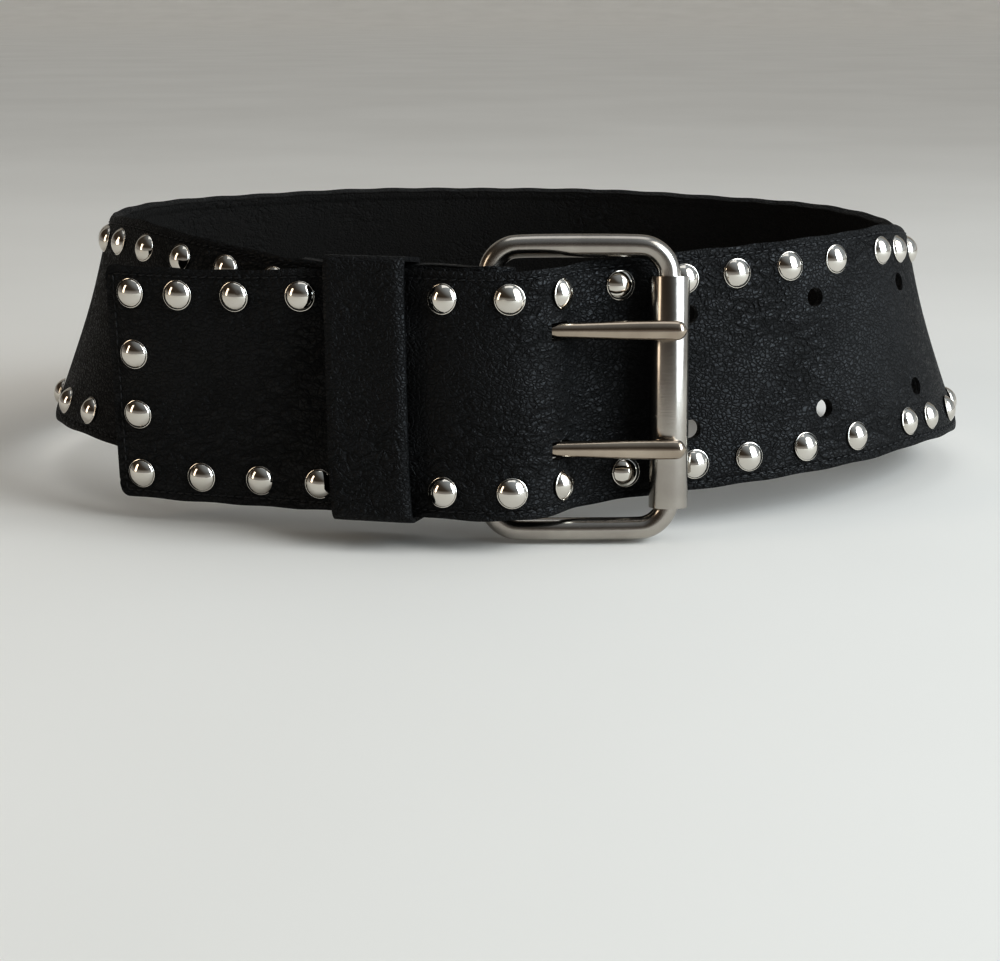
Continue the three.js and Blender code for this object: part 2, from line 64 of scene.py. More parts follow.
STRAP_STEP = 2.3 * MM
TIP_CORNER = 3 * MM
EDGE_ROUND = 0.9 * MM
EDGE_WAVE = 0.22 * MM
EDGE_WAVE_RATE = 61
STUD_WAVE = 0.16 * MM
STUD_WAVE_LENGTH = 20 * MM
TAIL_LENGTH = 62 * MM
FOLD_RADIUS = 6 * MM

STUD_RADIUS = 4.8 * MM
STUD_HEIGHT = 2.9 * MM
STUD_RIM = 0.75 * MM
STUD_FLANGE = 0.35 * MM
STUD_NICK = 0.10 * MM
NICK_PLACE = (0.45 * STUD_RADIUS, 0.85 * STUD_RADIUS)
NICK_WIDTH = (0.9 * MM, 1.6 * MM)
NICK_DEPTH = (0.3 * STUD_NICK, STUD_NICK)
STUD_INSET = 8.5 * MM
STUD_PITCH_TOP = 20.5 * MM
STUD_PITCH_BOTTOM = 20.65 * MM
STUD_SEAT = 0.05 * MM
STUD_TILT = 3.2
STUD_CLEAR = 3.2 * STUD_RADIUS

# The stud's rim below its crown: how far each step goes down, and how much wider it gets
RIM_STEPS = (
    (0.20 * MM, 1.012),
    (0.06 * MM, 1.045),
    (0.10 * MM, 1.022),
    (0.15 * MM, 1.004),
    (0.24 * MM, 0.99),
    (0, 0.9),
)

HOLE_RADIUS = 3.1 * MM
HOLE_LONG = 2.1 * HOLE_RADIUS
HOLE_PITCH = 48 * MM
HOLE_PAIRS = 5
USED_HOLE_LONG = 3.4 * HOLE_RADIUS
USED_HOLE_WIDE = 1.85 * HOLE_RADIUS
SLOT_WIDTH = 6.6 * MM
SLOT_LENGTH = 27 * MM
SLOT_PAST_FOLD = 9 * MM

# The prongs, from their eyes on the hinge bar to their ends on the roller
PRONG_SPACING = 36.5 * MM
PRONG_RADIUS = 2.7 * MM
EXIT_SHARE = 0.37
EYE_RADIUS = 5.95 * MM
PRONG_REST = 9.1 * MM
PRONG_SLIM = -0.04
PRONG_SPREAD = 0.24
PRONG_BLUNT = 2.6 * MM
BLUNT_SHARE = 0.82
PRONG_COVER = 0.25 * MM

# Shares of the way from the hinge bar to the roller where a prong turns slim, then spreads
SLIM_START = 0.12
SLIM_REACH = 0.15
SPREAD_START = 0.30
SPREAD_REACH = 0.62

# How the leather rides over a prong: before, past and fade count millimetres of its length
MAX_LIFT = 4 * MM
RIDE_BEFORE = 58
RIDE_PAST = 9
RIDE_FADE = 7
RIDE_SIDE = 8 * MM

ROLLER_RADIUS = 6.1 * MM
ROLLER_WALL = 1.1 * MM
ROLLER_LENGTH = 72 * MM
ROLLER_RIM = 0.25 * MM
ROLLER_SLIT = 0.5 * MM
ROLLER_SEAM_TURN = 12

STITCH_INSET = 2.6 * MM
STITCH_PITCH = 2.9 * MM
STITCH_LENGTH = 2.3 * MM
STITCH_WIDTH = 0.62 * MM
STITCH_SLANT = 0.10
STITCH_END = 4 * MM
GROOVE_DEPTH = 0.32 * MM
GROOVE_SIDE = -0.6 * GROOVE_DEPTH

KEEPER_THICKNESS = 1.6 * MM
KEEPER_CORNER = 3.4 * MM
KEEPER_EDGE = 0.5 * MM
KEEPER_STEP_SIDE = 0.9 * MM
KEEPER_STEP_UP = 2.2 * MM
KEEPER_FOLD = 3.2 * MM
KEEPER_CURL = 1.5 * MM
KEEPER_TUCK = 0.7 * MM
KEEPER_HOLLOW = 0.5 * MM
KEEPER_WAVE = 0.35 * MM
KEEPER_PULL = 0.9 * MM

# Soft bends of the leather across its width, and how far along it they reach
SIDE_BOW = 1.7 * MM
SIDE_REACH = 110 * MM
EDGE_ROLL = 0.35 * MM
ROLL_WIDTH = 5 * MM
HIP_ROLL = 1.1 * MM
HIP_ROLL_BEFORE = 22 * MM
HIP_ROLL_REACH = 60 * MM
DRUM = 0.25 * MM
DRUM_START = 40 * MM

# The leather's grain, in cells or clouds per metre
PEBBLES = 820
PORES = 1500
CREASES = 290
DRUM_CLOUDS = 75

# The photograph's camera
CAMERA_PLACE = (-2.6 * MM, -646 * MM, 110.75 * MM)
CAMERA_PITCH = 15
CAMERA_LENS = 63
SENSOR_WIDTH = 36
EXPOSURE = -0.5

# Room, in metres
FLOOR_SIZE = 60
FLOOR_GAP = 1 * MM
WALL_HEIGHT = 0.6 * FLOOR_SIZE
SWEEP_RADIUS = 0.2 * FLOOR_SIZE
BRIGHT_SIDE = (0.60, 0.10, 0.79)
ROOM_STRENGTH = 0.6
DAYLIGHT_FROM = (0.80, -0.30, 0.80)
SEED = 7


# Small helpers for modelling by operators

def deselect_all():
    if bpy.context.mode != "OBJECT":
        bpy.ops.object.mode_set(mode="OBJECT")
    bpy.ops.object.select_all(action="DESELECT")


def take(obj):
    """obj alone is selected and active."""
    deselect_all()
    obj.select_set(True)
    bpy.context.view_layer.objects.active = obj


def named(name):
    obj = bpy.context.object
    obj.name = name
    obj.data.name = name
    return obj


def apply_modifiers(obj):
    take(obj)
    for modifier in list(obj.modifiers):
        bpy.ops.object.modifier_apply(modifier=modifier.name)


def apply_place(obj):
    take(obj)
    bpy.ops.object.transform_apply(location=True, rotation=True, scale=True)


def smooth(obj, degrees):
    take(obj)
    bpy.ops.object.shade_smooth_by_angle(angle=math.radians(degrees))


def normals_out(obj):
    take(obj)
    bpy.ops.object.mode_set(mode="EDIT")
    bpy.ops.mesh.select_all(action="SELECT")
    bpy.ops.mesh.normals_make_consistent(inside=False)
    bpy.ops.object.mode_set(mode="OBJECT")


def place_by(obj, matrix):
    obj.data.transform(matrix)
    obj.data.update()


def give_wall(obj, thickness):
    """An open sheet gets its thickness, behind its face."""
    wall = obj.modifiers.new("wall", "SOLIDIFY")
    wall.thickness = thickness
    wall.offset = -1
    apply_modifiers(obj)


def soften_edges(obj, width, segments, degrees):
    """Edges sharper than an angle are bevelled."""
    soften = obj.modifiers.new("edges", "BEVEL")
    soften.width = width
    soften.segments = segments
    soften.limit_method = "ANGLE"
    soften.angle_limit = math.radians(degrees)
    apply_modifiers(obj)


def cut_away(obj, tool, solver):
    cut = obj.modifiers.new("cut", "BOOLEAN")
    cut.operation = "DIFFERENCE"
    cut.solver = solver
    cut.object = tool
    apply_modifiers(obj)
    bpy.data.objects.remove(tool)


def round_wire(obj):
    """A faceted wire becomes round."""
    rounding = obj.modifiers.new("rounding", "SUBSURF")
    rounding.levels = 2
    rounding.render_levels = 2
    apply_modifiers(obj)


def edit_only(obj, mode, wanted):
    """Edit mode, with only the faces or edges selected that pass a test."""
    take(obj)
    bpy.ops.object.mode_set(mode="EDIT")
    bpy.ops.mesh.select_mode(type=mode)
    bpy.ops.mesh.select_all(action="DESELECT")
    bpy.ops.object.mode_set(mode="OBJECT")
    for item in obj.data.polygons if mode == "FACE" else obj.data.edges:
        item.select = wanted(item)
    bpy.ops.object.mode_set(mode="EDIT")


def ends_of(obj, edge):
    return [obj.data.vertices[index].co for index in edge.vertices]


def between(value, start, reach):
    """0 up to start, 1 from start + reach on, and even in between."""
    return min(1.0, max(0.0, (value - start) / reach))


def merged_copy(node, name):
    """A copy of a CAD node with its loose triangles merged, as quads where they pair up."""
    copy = frame["nodes"][node].copy()
    copy.data = copy.data.copy()
    copy.parent = None
    for key in list(copy.keys()):
        del copy[key]
    copy.name = name
    copy.data.name = name
    bpy.context.scene.collection.objects.link(copy)
    copy.hide_set(False)
    copy.hide_render = False
    take(copy)
    bpy.ops.object.mode_set(mode="EDIT")
    bpy.ops.mesh.select_all(action="SELECT")
    bpy.ops.mesh.remove_doubles(threshold=2e-6)
    bpy.ops.mesh.tris_convert_to_quads(face_threshold=math.radians(12), shape_threshold=math.radians(60))
    bpy.ops.object.mode_set(mode="OBJECT")
    copy.data.materials.clear()
    return copy


def finish_piece(obj, body, slot, material, *nodes):
    """The piece rides on its body, with its own material, in place of CAD nodes; its slot is not used."""
    obj.data.materials.clear()
    obj.data.materials.append(material)
    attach(obj, body)
    if nodes:
        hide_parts(*nodes)


# The strap's route, read from the four long edges of its solid

def strap_chains():
    """The edge lines of the strap's two faces, from the tail's top corner round the tip to its lower one."""
    mesh = bmesh.new()
    mesh.from_mesh(frame["nodes"]["belt_strap"].data)
    bmesh.ops.remove_doubles(mesh, verts=mesh.verts, dist=5e-6)
    sharp = {}
    for edge in mesh.edges:
        if len(edge.link_faces) == 2 and edge.calc_face_angle(0) > math.radians(60):
            for vert in edge.verts:
                sharp.setdefault(vert, []).append(edge.other_vert(vert))

    def spans(vert, length):
        return [other for other in sharp[vert] if abs((vert.co - other.co).length - length) < 0.1 * MM]

    corners = [vert for vert in sharp if spans(vert, STRAP_THICKNESS) and spans(vert, STRAP_WIDTH)]
    chains = []
    for corner in (vert for vert in corners if vert.co.z > 0):
        ends = spans(corner, STRAP_THICKNESS) + spans(corner, STRAP_WIDTH)
        chain = [corner, next(other for other in sharp[corner] if other not in ends)]
        while chain[-1] not in corners:
            heading = (chain[-1].co - chain[-2].co).normalized()
            chain.append(max(
                (other for other in sharp[chain[-1]] if other not in chain[-3:]),
                key=lambda other: (other.co - chain[-1].co).normalized().dot(heading)))
        chains.append([vert.co.copy() for vert in chain])
    mesh.free()
    return chains


def strap_stations():
    """Middle points and directions across the strap along the route, from the tip."""
    first, second = strap_chains()
    rows = []
    for index in range(len(first) // 2 - 1, -1, -1):
        tops = first[index] + second[index]
        lows = first[-1 - index] + second[-1 - index]
        rows.append(((tops + lows) / 4, (tops - lows).normalized()))
    return np.array([row[0] for row in rows]), np.array([row[1] for row in rows])


class Route:
    """The strap's middle line with its cross direction, as smooth functions of length from the tip."""

    def __init__(self):
        points, across = strap_stations()
        gaps = np.linalg.norm(np.diff(points, axis=0), axis=1)
        self.lengths = np.concatenate([[0], np.cumsum(gaps)])
        self.points = points
        self.across = across
        slopes = np.gradient(points, self.lengths, axis=0)
        self.slopes = slopes / np.linalg.norm(slopes, axis=1)[:, None]
        self.length = float(self.lengths[-1])

    def frame(self, length):
        """Point, forward, across and face directions at a length, or past either end in line."""
        inside = min(max(length, 0.0), self.length)
        row = int(np.searchsorted(self.lengths, inside, side="right")) - 1
        row = min(max(row, 0), len(self.lengths) - 2)
        gap = self.lengths[row + 1] - self.lengths[row]
        t = (inside - self.lengths[row]) / gap
        p0, p1 = self.points[row], self.points[row + 1]
        m0, m1 = self.slopes[row] * gap, self.slopes[row + 1] * gap
        point = ((2 * t**3 - 3 * t**2 + 1) * p0 + (t**3 - 2 * t**2 + t) * m0
                 + (3 * t**2 - 2 * t**3) * p1 + (t**3 - t**2) * m1)
        forward = ((6 * t**2 - 6 * t) * p0 + (3 * t**2 - 4 * t + 1) * m0
                   + (6 * t - 6 * t**2) * p1 + (3 * t**2 - 2 * t) * m1)
        forward = Vector(forward).normalized()
        across = Vector(self.across[row] * (1 - t) + self.across[row + 1] * t).normalized()
        face = forward.cross(across).normalized()
        return Vector(point) + forward * (length - inside), forward, across, face

    def place(self, length, height, depth):
        point, _, across, face = self.frame(length)
        return point + across * height + face * depth

    def matrix(self, length, height, depth):
        """X along the strap, Y across it, Z out of its face."""
        point, forward, across, face = self.frame(length)
        side = across.cross(face)
        origin = point + across * height + face * depth
        return Matrix.Translation(origin) @ Matrix((side, across, face)).transposed().to_4x4()

    def seat(self, point):
        """Length and height of the place on the strap's face that lies nearest to a point."""
        def spot(length):
            middle, _, across, face = self.frame(length)
            height = (point - middle).dot(across)
            return (middle + across * height + face * STRAP_THICKNESS / 2 - point).length, length, height

        _, near, _ = min(spot(step * 2 * MM) for step in range(int(self.length / (2 * MM))))
        _, length, height = min(spot(near + step * 0.1 * MM) for step in range(-20, 21))
        return length, height

    def nearest(self, point, start, end):
        """The length between start and end whose middle point lies nearest to a point."""
        steps = [start + (end - start) * step / 2000 for step in range(2001)]
        return min(steps, key=lambda length: (self.frame(length)[0] - point).length)


# The buckle's own axes, read from its frame: X from the hinge bar to the roller, Y up, Z outwards

def buckle_axes():
    up = Vector(frame["joints"][0]["axis"]).normalized()
    points = np.array([vert.co for vert in frame["nodes"]["buckle_frame"].data.vertices])
    middle = points.mean(axis=0)
    out = Vector(np.linalg.svd(points - middle, full_matrices=False)[2][2])
    if out.y > 0:
        out = -out
    out = (out - up * out.dot(up)).normalized()
    along = up.cross(out)
    local = (points - middle) @ np.array([along, up, out]).T
    low, high = local.min(axis=0), local.max(axis=0)
    wire = (high[2] - low[2]) / 2
    centre = (low + high) / 2
    hinge = Vector(middle) + along * float(low[0] + wire) + up * float(centre[1]) + out * float(centre[2])
    matrix = Matrix.Translation(hinge) @ Matrix((along, up, out)).transposed().to_4x4()
    return matrix, float(high[0] - low[0] - 2 * wire)


ROUTE = Route()
BUCKLE, BAR_SPAN = buckle_axes()
TIP_TO_FOLD = ROUTE.length - TAIL_LENGTH - math.pi * FOLD_RADIUS
HIP_STEP = 5 * MM
HIP_LINE = [ROUTE.frame(step * HIP_STEP)[0].x for step in range(int(TIP_TO_FOLD / HIP_STEP))]
RIGHT_SIDE = HIP_LINE.index(max(HIP_LINE)) * HIP_STEP
LEFT_SIDE = HIP_LINE.index(min(HIP_LINE)) * HIP_STEP


def hump(value, centre, reach):
    """A smooth hump: 1 at its centre, 0 from its reach on."""
    share = min(1.0, abs(value - centre) / reach)
    return 0.5 + 0.5 * math.cos(math.pi * share)


def prong_axis(share):
    """How far out a prong's axis lies at a share of the way from the hinge bar to the roller."""
    return EYE_RADIUS + (PRONG_REST - EYE_RADIUS) * share


def exit_length():
    """The length at which the prongs come out of the leather."""
    point = BUCKLE @ Vector((EXIT_SHARE * BAR_SPAN, 0, prong_axis(EXIT_SHARE)))
    return ROUTE.nearest(point, 100 * MM, 200 * MM)


# Materials

class Nodes:
    """The node tree of a material or world, with short calls to add and join nodes."""

    def __init__(self, owner):
        owner.use_nodes = True
        self.tree = owner.node_tree

    def add(self, kind, **values):
        node = self.tree.nodes.new(kind)
        for key, value in values.items():
            if key in node.inputs:
                node.inputs[key].default_value = value
            else:
                setattr(node, key, value)
        return node

    def join(self, start, end):
        self.tree.links.new(start, end)

    def math(self, operation, *values):
        node = self.add("ShaderNodeMath", operation=operation)
        for socket, value in zip(node.inputs, values):
            if isinstance(value, (int, float)):
                socket.default_value = value
            else:
                self.join(value, socket)
        return node.outputs[0]

    def scaled(self, vector, scale):
        node = self.add("ShaderNodeMapping", Scale=scale)
        self.join(vector, node.inputs["Vector"])
        return node.outputs["Vector"]

    def noise(self, vector, scale, detail=3, rough=0.5, output="Fac"):
        node = self.add("ShaderNodeTexNoise", Scale=scale, Detail=detail, Roughness=rough)
        self.join(vector, node.inputs["Vector"])
        return node.outputs[output]

    def ramp(self, value, *stops):
        node = self.add("ShaderNodeValToRGB")
        elements = node.color_ramp.elements
        while len(elements) < len(stops):
            elements.new(0.5)
        for element, (place, color) in zip(elements, stops):
            element.position = place
            shade = (color,) * 3 if isinstance(color, (int, float)) else color
            element.color = (*shade, 1)
        self.join(value, node.inputs["Fac"])
        return node.outputs["Color"]

    def mix(self, share, first, second):
        node = self.add("ShaderNodeMix", data_type="RGBA")
        self.join(share, node.inputs["Factor"])
        for socket, value in ((node.inputs["A"], first), (node.inputs["B"], second)):
            if isinstance(value, tuple):
                socket.default_value = (*value, 1)
            else:
                self.join(value, socket)
        return node.outputs["Result"]

    def bump(self, height, strength, distance, normal=None):
        node = self.add("ShaderNodeBump", Strength=strength, Distance=distance)
        self.join(height, node.inputs["Height"])
        if normal is not None:
            self.join(normal, node.inputs["Normal"])
        return node.outputs["Normal"]


class MaterialNodes(Nodes):
    """A new material, whose surface is one shader."""

    def __init__(self, name):
        self.material = bpy.data.materials.new(name)
        super().__init__(self.material)
        self.shader = self.tree.nodes["Principled BSDF"]


def cracks(nodes, where, scale, width):
    """A net of fine valleys between cells: 0 in a valley, 1 on a cell."""
    cells = nodes.add("ShaderNodeTexVoronoi", feature="DISTANCE_TO_EDGE", Scale=scale)
    nodes.join(where, cells.inputs["Vector"])
    return nodes.ramp(cells.outputs["Distance"], (0.0, 0.0), (0.35 * width, 0.55), (width, 1.0))


def warped(nodes, where, scale, reach):
    """Coordinates pushed about by noise, so that cells lose their straight sides."""
    push = nodes.add("ShaderNodeVectorMath", operation="MULTIPLY_ADD")
    nodes.join(nodes.noise(where, scale, 2, output="Color"), push.inputs[0])
    push.inputs[1].default_value = (reach, reach, reach)
    nodes.join(where, push.inputs[2])
    return push.outputs[0]


def grain(nodes, where):
    """Pebbles, creases along the strap in patches, soft drum and pores; returns the cells' tops, low in the
    valleys that the leather's colour darkens as painted shade.
    """
    small_way = nodes.scaled(warped(nodes, where, 330, 2.2 * MM), (0.72, 1.0, 1.0))
    pebbles = cracks(nodes, small_way, PEBBLES, 0.26)
    long_way = nodes.scaled(warped(nodes, where, 130, 10 * MM), (0.20, 1.0, 1.0))
    patches = nodes.ramp(nodes.noise(where, 24, 3), (0.42, 1.0), (0.62, 0.0))
    crease = nodes.math("MAXIMUM", cracks(nodes, long_way, CREASES, 0.20), patches)
    soft = nodes.bump(nodes.noise(where, DRUM_CLOUDS, 3, 0.55), 0.5, 1.0 * MM)
    creased = nodes.bump(crease, 0.9, 0.7 * MM, soft)
    pebbled = nodes.bump(pebbles, 0.7, 0.34 * MM, creased)
    pored = nodes.bump(nodes.noise(where, PORES, 2, 0.6), 0.45, 0.22 * MM, pebbled)
    nodes.join(pored, nodes.shader.inputs["Normal"])
    return nodes.math("MULTIPLY", pebbles, crease)


def pebbled_leather(name, flat_attribute):
    """Near-black pebbled leather, with painted edges and a plain back where its flat place is known. Its
    colour holds painted shade in the grain's valleys and a bluish tint of painted sheen.
    """
    nodes = MaterialNodes(name)
    if flat_attribute:
        where = nodes.add("ShaderNodeAttribute", attribute_name=flat_attribute).outputs["Vector"]
    else:
        where = nodes.add("ShaderNodeTexCoord").outputs["Object"]
    tops = grain(nodes, where)
    # The leather's own tone, varied at random, with a bluish cast that is painted sheen from the cool right
    # window.
    tone = nodes.ramp(nodes.noise(where, 30, 3),
                      (0.3, (0.0013, 0.0014, 0.0018)), (0.7, (0.0033, 0.0037, 0.0048)))
    # Painted shade: the valleys between pebbles and along the creases are coloured near-black, as the shade
    # that falls in the grain's hollows.
    color = nodes.mix(tops, (0.0004, 0.0004, 0.0004), tone)
    rubbed = nodes.ramp(nodes.noise(where, 60, 4, 0.6), (0.35, 0.05), (0.65, 0.0))
    rough = nodes.math("ADD", nodes.math("MULTIPLY_ADD", tops, -0.38, 0.78), rubbed)
    if flat_attribute:
        parts = nodes.add("ShaderNodeSeparateXYZ")
        nodes.join(where, parts.inputs[0])
        inner = nodes.math("LESS_THAN", parts.outputs["Z"], -STRAP_THICKNESS / 2 + 0.35 * MM)
        suede = nodes.ramp(nodes.noise(where, 900, 4, 0.7),
                           (0.3, (0.008, 0.007, 0.0062)), (0.7, (0.016, 0.014, 0.012)))
        color = nodes.mix(inner, color, suede)
        depth = nodes.math("ABSOLUTE", parts.outputs["Z"])
        side = nodes.math("LESS_THAN", depth, STRAP_THICKNESS / 2 - 0.45 * MM)
        paint = nodes.ramp(nodes.noise(where, 300, 3),
                           (0.3, (0.006, 0.0058, 0.0055)), (0.7, (0.018, 0.017, 0.016)))
        color = nodes.mix(side, color, paint)
        rough = nodes.mix(inner, rough, (0.85, 0.85, 0.85))
    nodes.join(color, nodes.shader.inputs["Base Color"])
    nodes.join(rough, nodes.shader.inputs["Roughness"])
    nodes.shader.inputs["Specular IOR Level"].default_value = 0.42
    nodes.shader.inputs["Sheen Weight"].default_value = 0.012
    nodes.shader.inputs["Sheen Roughness"].default_value = 0.4
    return nodes.material


def waxed_thread():
    """Black twisted thread, a little glossier than the leather."""
    nodes = MaterialNodes("black_waxed_thread")
    where = nodes.add("ShaderNodeTexCoord").outputs["Object"]
    twist = nodes.noise(where, 2600, 2)
    nodes.join(nodes.bump(twist, 0.5, 0.0001), nodes.shader.inputs["Normal"])
    nodes.join(nodes.ramp(twist, (0.3, (0.007, 0.007, 0.008)), (0.7, (0.02, 0.02, 0.021))),
               nodes.shader.inputs["Base Color"])
    nodes.shader.inputs["Roughness"].default_value = 0.48
    return nodes.material


def metal(name, light, dark, rough, brush, brush_strength):
    """Metal with a faint cloudy tone, fine brushed lines and small scuffs."""
    nodes = MaterialNodes(name)
    where = nodes.add("ShaderNodeTexCoord").outputs["Object"]
    lines = nodes.noise(nodes.scaled(where, brush), 900, 3, 0.6)
    cloud = nodes.noise(where, 70, 3)
    scuff = nodes.ramp(nodes.noise(where, 420, 5, 0.7), (0.60, 0.0), (0.74, 1.0))
    nodes.join(nodes.ramp(cloud, (0.3, dark), (0.7, light)), nodes.shader.inputs["Base Color"])
    low, high = rough
    base = nodes.math("MULTIPLY_ADD", lines, high - low, low)
    nodes.join(nodes.math("MULTIPLY_ADD", scuff, 0.06, base), nodes.shader.inputs["Roughness"])
    nodes.join(nodes.bump(lines, brush_strength, 0.04 * MM), nodes.shader.inputs["Normal"])
    nodes.shader.inputs["Metallic"].default_value = 1.0
    return nodes.material


# The strap: laid out flat, grooved, punched, then bent along its route

def row_heights():
    """Rows of the flat strap from its middle to its edge, and the depth of its face at each."""
    half = STRAP_WIDTH / 2
    groove = half - STITCH_INSET
    return [
        (0.0, 0.0), (6 * MM, 0.0), (12 * MM, 0.0), (18 * MM, 0.0), (22 * MM, 0.0), (25 * MM, 0.0),
        (27.5 * MM, 0.0), (29.5 * MM, 0.0), (31.5 * MM, 0.0), (33 * MM, 0.05 * MM),
        (groove - 0.9 * MM, 0.0), (groove - 0.4 * MM, GROOVE_SIDE), (groove, -GROOVE_DEPTH),
        (groove + 0.4 * MM, GROOVE_SIDE), (groove + 0.9 * MM, 0.0),
        (half - 0.8 * MM, -0.08 * MM), (half, -0.25 * MM),
    ]


def half_width(length):
    """Half the strap's width, drawn in at the rounded corners of its tip."""
    inside = min(1.0, length / TIP_CORNER)
    return STRAP_WIDTH / 2 - TIP_CORNER * (1 - math.sqrt(1 - (1 - inside) ** 2))


def edge_wave(length, side):
    """The small waviness of a cut and studded edge."""
    turn = length / STUD_WAVE_LENGTH * 2 * math.pi
    return STUD_WAVE * math.sin(turn + side) + EDGE_WAVE * math.sin(length * EDGE_WAVE_RATE + 2 * side)


def flat_strap():
    """The strap's face laid flat: X along it from the tip, Y across it, Z out of it."""
    upper = row_heights()
    rows = [(-height, depth) for height, depth in reversed(upper[1:])] + upper
    columns = [0.0, 0.4 * MM, 1.2 * MM, 2.2 * MM, TIP_CORNER]
    count = int((ROUTE.length - columns[-1]) / STRAP_STEP)
    start = columns[-1]
    columns += [start + (ROUTE.length - start) * step / count for step in range(1, count + 1)]
    bpy.ops.mesh.primitive_grid_add(
        x_subdivisions=len(columns) - 1, y_subdivisions=len(rows) - 1, size=1, location=(0, 0, 0))
    strap = named("belt_strap_leather")
    for vert in strap.data.vertices:
        column = round((vert.co.x + 0.5) * (len(columns) - 1))
        row = round((vert.co.y + 0.5) * (len(rows) - 1))
        length = columns[column]
        height, depth = rows[row]
        share = abs(height) / (STRAP_WIDTH / 2)
        wave = edge_wave(length, 1 if height > 0 else 4) * share**4
        across = height * half_width(length) / (STRAP_WIDTH / 2) + wave
        end = min(length, 2 * STITCH_INSET)
        in_groove = abs(end - STITCH_INSET) < 0.45 * MM and share < 0.94
        depth = min(depth, GROOVE_SIDE) if in_groove else depth
        vert.co = (length, across, STRAP_THICKNESS / 2 + depth)
    return strap


def thicken(strap):
    """The face gets its wall, and its four long edges and both ends are rounded."""
    give_wall(strap, STRAP_THICKNESS)
    bpy.ops.object.mode_set(mode="EDIT")
    bpy.ops.mesh.select_all(action="DESELECT")
    bpy.ops.object.mode_set(mode="OBJECT")
    mesh = bmesh.new()
    mesh.from_mesh(strap.data)
    for edge in mesh.edges:
        edge.select = len(edge.link_faces) == 2 and edge.calc_face_angle(0) > math.radians(60)
    mesh.to_mesh(strap.data)
    mesh.free()
    bpy.ops.object.mode_set(mode="EDIT")
    bpy.ops.mesh.bevel(offset=EDGE_ROUND, segments=3, affect="EDGES", clamp_overlap=True)
    bpy.ops.object.mode_set(mode="OBJECT")
    for vert in strap.data.vertices:
        vert.co.x = min(max(vert.co.x, 0.0), ROUTE.length)


def obround_cutter(length, height, long, wide, square_end=False):
    """A punch with round ends, standing through the flat strap."""
    bpy.ops.mesh.primitive_cylinder_add(
        vertices=28, radius=wide / 2, depth=4 * STRAP_THICKNESS, location=(length, height, 0))
    cutter = bpy.context.object
    stretch = max(0.0, long - wide) / 2
    for vert in cutter.data.vertices:
        vert.co.x += math.copysign(stretch, vert.co.x) if abs(vert.co.x) > 1e-6 else 0.0
        if square_end:
            vert.co.x = max(vert.co.x, -stretch - 0.1 * wide)
    return cutter


def punch(strap):
    """Prong holes, the stretched pair in use, and the slots in the fold."""
    first = exit_length()
    cutters = []
    for height in (PRONG_SPACING / 2, -PRONG_SPACING / 2):
        for pair in range(1, HOLE_PAIRS):
            place = first + pair * HOLE_PITCH
            cutters.append(obround_cutter(place, height, HOLE_LONG, 2 * HOLE_RADIUS))
        cutters.append(obround_cutter(first, height, USED_HOLE_LONG, USED_HOLE_WIDE, True))
        cutters.append(obround_cutter(TIP_TO_FOLD + SLOT_PAST_FOLD, height, SLOT_LENGTH, SLOT_WIDTH))
    take(cutters[0])
    for cutter in cutters[1:]:
        cutter.select_set(True)
    bpy.ops.object.join()
    tool = bpy.context.object
    apply_place(tool)
    cut_away(strap, tool, "MANIFOLD")


def prong_ride():
    """How far the leather is lifted over a prong, for each millimetre round its hole's near edge."""
    inverse = BUCKLE.inverted()
    edge = exit_length() - 0.8 * HOLE_RADIUS
    lifts = {}
    for step in range(RIDE_BEFORE + 1):
        spot = inverse @ ROUTE.place(edge - step * MM, 0, STRAP_THICKNESS / 2)
        top = prong_axis(spot.x / BAR_SPAN) + PRONG_RADIUS + PRONG_COVER
        lifts[-step] = min(MAX_LIFT, max(0.0, top - spot.z))
    for step in range(1, RIDE_PAST + 2):
        lifts[step] = lifts[0] * hump(step, 0, RIDE_FADE)
    return edge, lifts


def over_prong(length, height):
    """The leather's lift over the prongs at a length and height."""
    edge, lifts = PRONG_RIDE
    place = (length - edge) / MM
    low = math.floor(place)
    if low < -RIDE_BEFORE or low > RIDE_PAST:
        return 0.0
    along = lifts[low] + (lifts[low + 1] - lifts[low]) * (place - low)
    away = abs(abs(height) - PRONG_SPACING / 2)
    return along * hump(max(0.0, away - 0.5 * PRONG_RADIUS), 0, RIDE_SIDE)


def sag(length, height):
    """How far the leather bends in or out of its flat cross-section at a length and height."""
    share = height / (STRAP_WIDTH / 2)
    sides = hump(length, RIGHT_SIDE, SIDE_REACH) + hump(length, LEFT_SIDE, SIDE_REACH)
    bow = -SIDE_BOW * sides * (1 - share * share)
    past = max(0.0, abs(height) - (STRAP_WIDTH / 2 - ROLL_WIDTH)) / ROLL_WIDTH
    turned = HIP_ROLL * hump(length, RIGHT_SIDE - HIP_ROLL_BEFORE, HIP_ROLL_REACH) if height > 0 else 0.0
    roll = -(EDGE_ROLL + turned) * past * past
    drum = DRUM * math.sin(length * 71 + 2.2 * share) * math.sin(2.6 * share + 0.7)
    return bow + roll + drum * min(1.0, length / DRUM_START) + over_prong(length, height)


def bend(piece):
    """Every point of the flat piece goes to its place on the route, and its flat place is kept."""
    mesh = piece.data
    flat = mesh.attributes.new("flat_place", "FLOAT_VECTOR", "POINT")
    for index, vert in enumerate(mesh.vertices):
        length, height, depth = vert.co
        flat.data[index].vector = (length, height, depth)
        vert.co = ROUTE.place(length, height, depth + sag(length, height))
    mesh.update()


PRONG_RIDE = prong_ride()


def belt_strap(material):
    """The leather strap: laid flat, thickened, punched and bent."""
    strap = flat_strap()
    thicken(strap)
    punch(strap)
    bend(strap)
    normals_out(strap)
    smooth(strap, 50)
    finish_piece(strap, "belt", "black_leather", material, "belt_strap")


# Stitches: one thread loop, copied along both edges and across the tip

